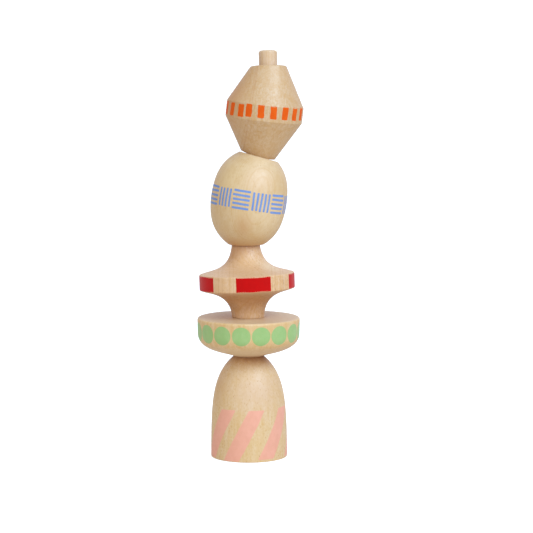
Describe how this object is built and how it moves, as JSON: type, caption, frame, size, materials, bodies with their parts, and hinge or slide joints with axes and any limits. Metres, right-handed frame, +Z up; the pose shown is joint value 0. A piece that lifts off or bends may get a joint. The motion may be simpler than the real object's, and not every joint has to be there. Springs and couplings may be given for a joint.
{
  "type": "wooden stacking tower toy",
  "caption": "Tower of turned, printed wooden shapes that lift off and turn on short dowel pegs, with oblique ends that make the upper shapes lean.",
  "frame": {"origin": "middle of the lowest shape's foot, on the table, where its socket's axis meets the foot", "axes": "+Z up the tower, +X to the side that the egg leans to, +Y to the back"},
  "size_m": [0.07, 0.0678, 0.2684],
  "materials": {
    "dome_wood": "sanded pale hardwood with slanted pink printed stripes",
    "disc_wood": "sanded pale hardwood with round green printed dots",
    "spool_wood": "sanded pale hardwood with red printed rectangles on the flange",
    "egg_wood": "sanded pale hardwood with a blue printed basket-weave band",
    "cone_wood": "sanded pale hardwood with orange printed bars on the band",
    "dowel_wood": "plain sanded dowel",
    "pink_ink": "thin matt printed paint, pink, the wood showing faintly through it",
    "green_ink": "thin matt printed paint, green, the wood showing faintly through it",
    "red_ink": "thin satin printed paint, red",
    "blue_ink": "thin matt hand-printed paint lines, blue",
    "orange_ink": "thin matt printed paint, orange"
  },
  "bodies": {
    "dome": {"dome_base": "dome_wood"},
    "dome_peg": {"dome_peg": "dowel_wood"},
    "disc": {"dotted_disc": "disc_wood"},
    "disc_peg": {"disc_peg": "dowel_wood"},
    "spool": {"flanged_spool": "spool_wood"},
    "spool_peg": {"spool_peg": "dowel_wood"},
    "egg": {"egg": "egg_wood"},
    "egg_peg": {"egg_peg": "dowel_wood"},
    "cone": {"double_cone": "cone_wood", "top_peg": "dowel_wood"}
  },
  "joints": [
    {"name": "disc_turn", "type": "hinge", "parent": "dome", "child": "dome_peg", "pos_m": [-0.0002, 0, 0.0672], "axis": [0, 0, 1], "continuous": true},
    {"name": "disc_lift", "type": "slide", "parent": "dome_peg", "child": "disc", "axis": [0, 0, 1], "range_m": [0, 0.025]},
    {"name": "spool_turn", "type": "hinge", "parent": "disc", "child": "disc_peg", "pos_m": [-0.0004, 0, 0.0929], "axis": [0, 0, 1], "continuous": true},
    {"name": "spool_lift", "type": "slide", "parent": "disc_peg", "child": "spool", "axis": [0, 0, 1], "range_m": [0, 0.025]},
    {"name": "egg_turn", "type": "hinge", "parent": "spool", "child": "spool_peg", "pos_m": [-0.0022, 0.0008, 0.1412], "axis": [0, 0, 1], "continuous": true},
    {"name": "egg_lift", "type": "slide", "parent": "spool_peg", "child": "egg", "axis": [0, 0, 1], "range_m": [0, 0.025]},
    {"name": "cone_turn", "type": "hinge", "parent": "egg", "child": "egg_peg", "pos_m": [0.0059, 0.0023, 0.1989], "axis": [0.2652, 0.0538, 0.9627], "continuous": true},
    {"name": "cone_lift", "type": "slide", "parent": "egg_peg", "child": "cone", "axis": [0.2652, 0.0538, 0.9627], "range_m": [0, 0.025]}
  ]
}
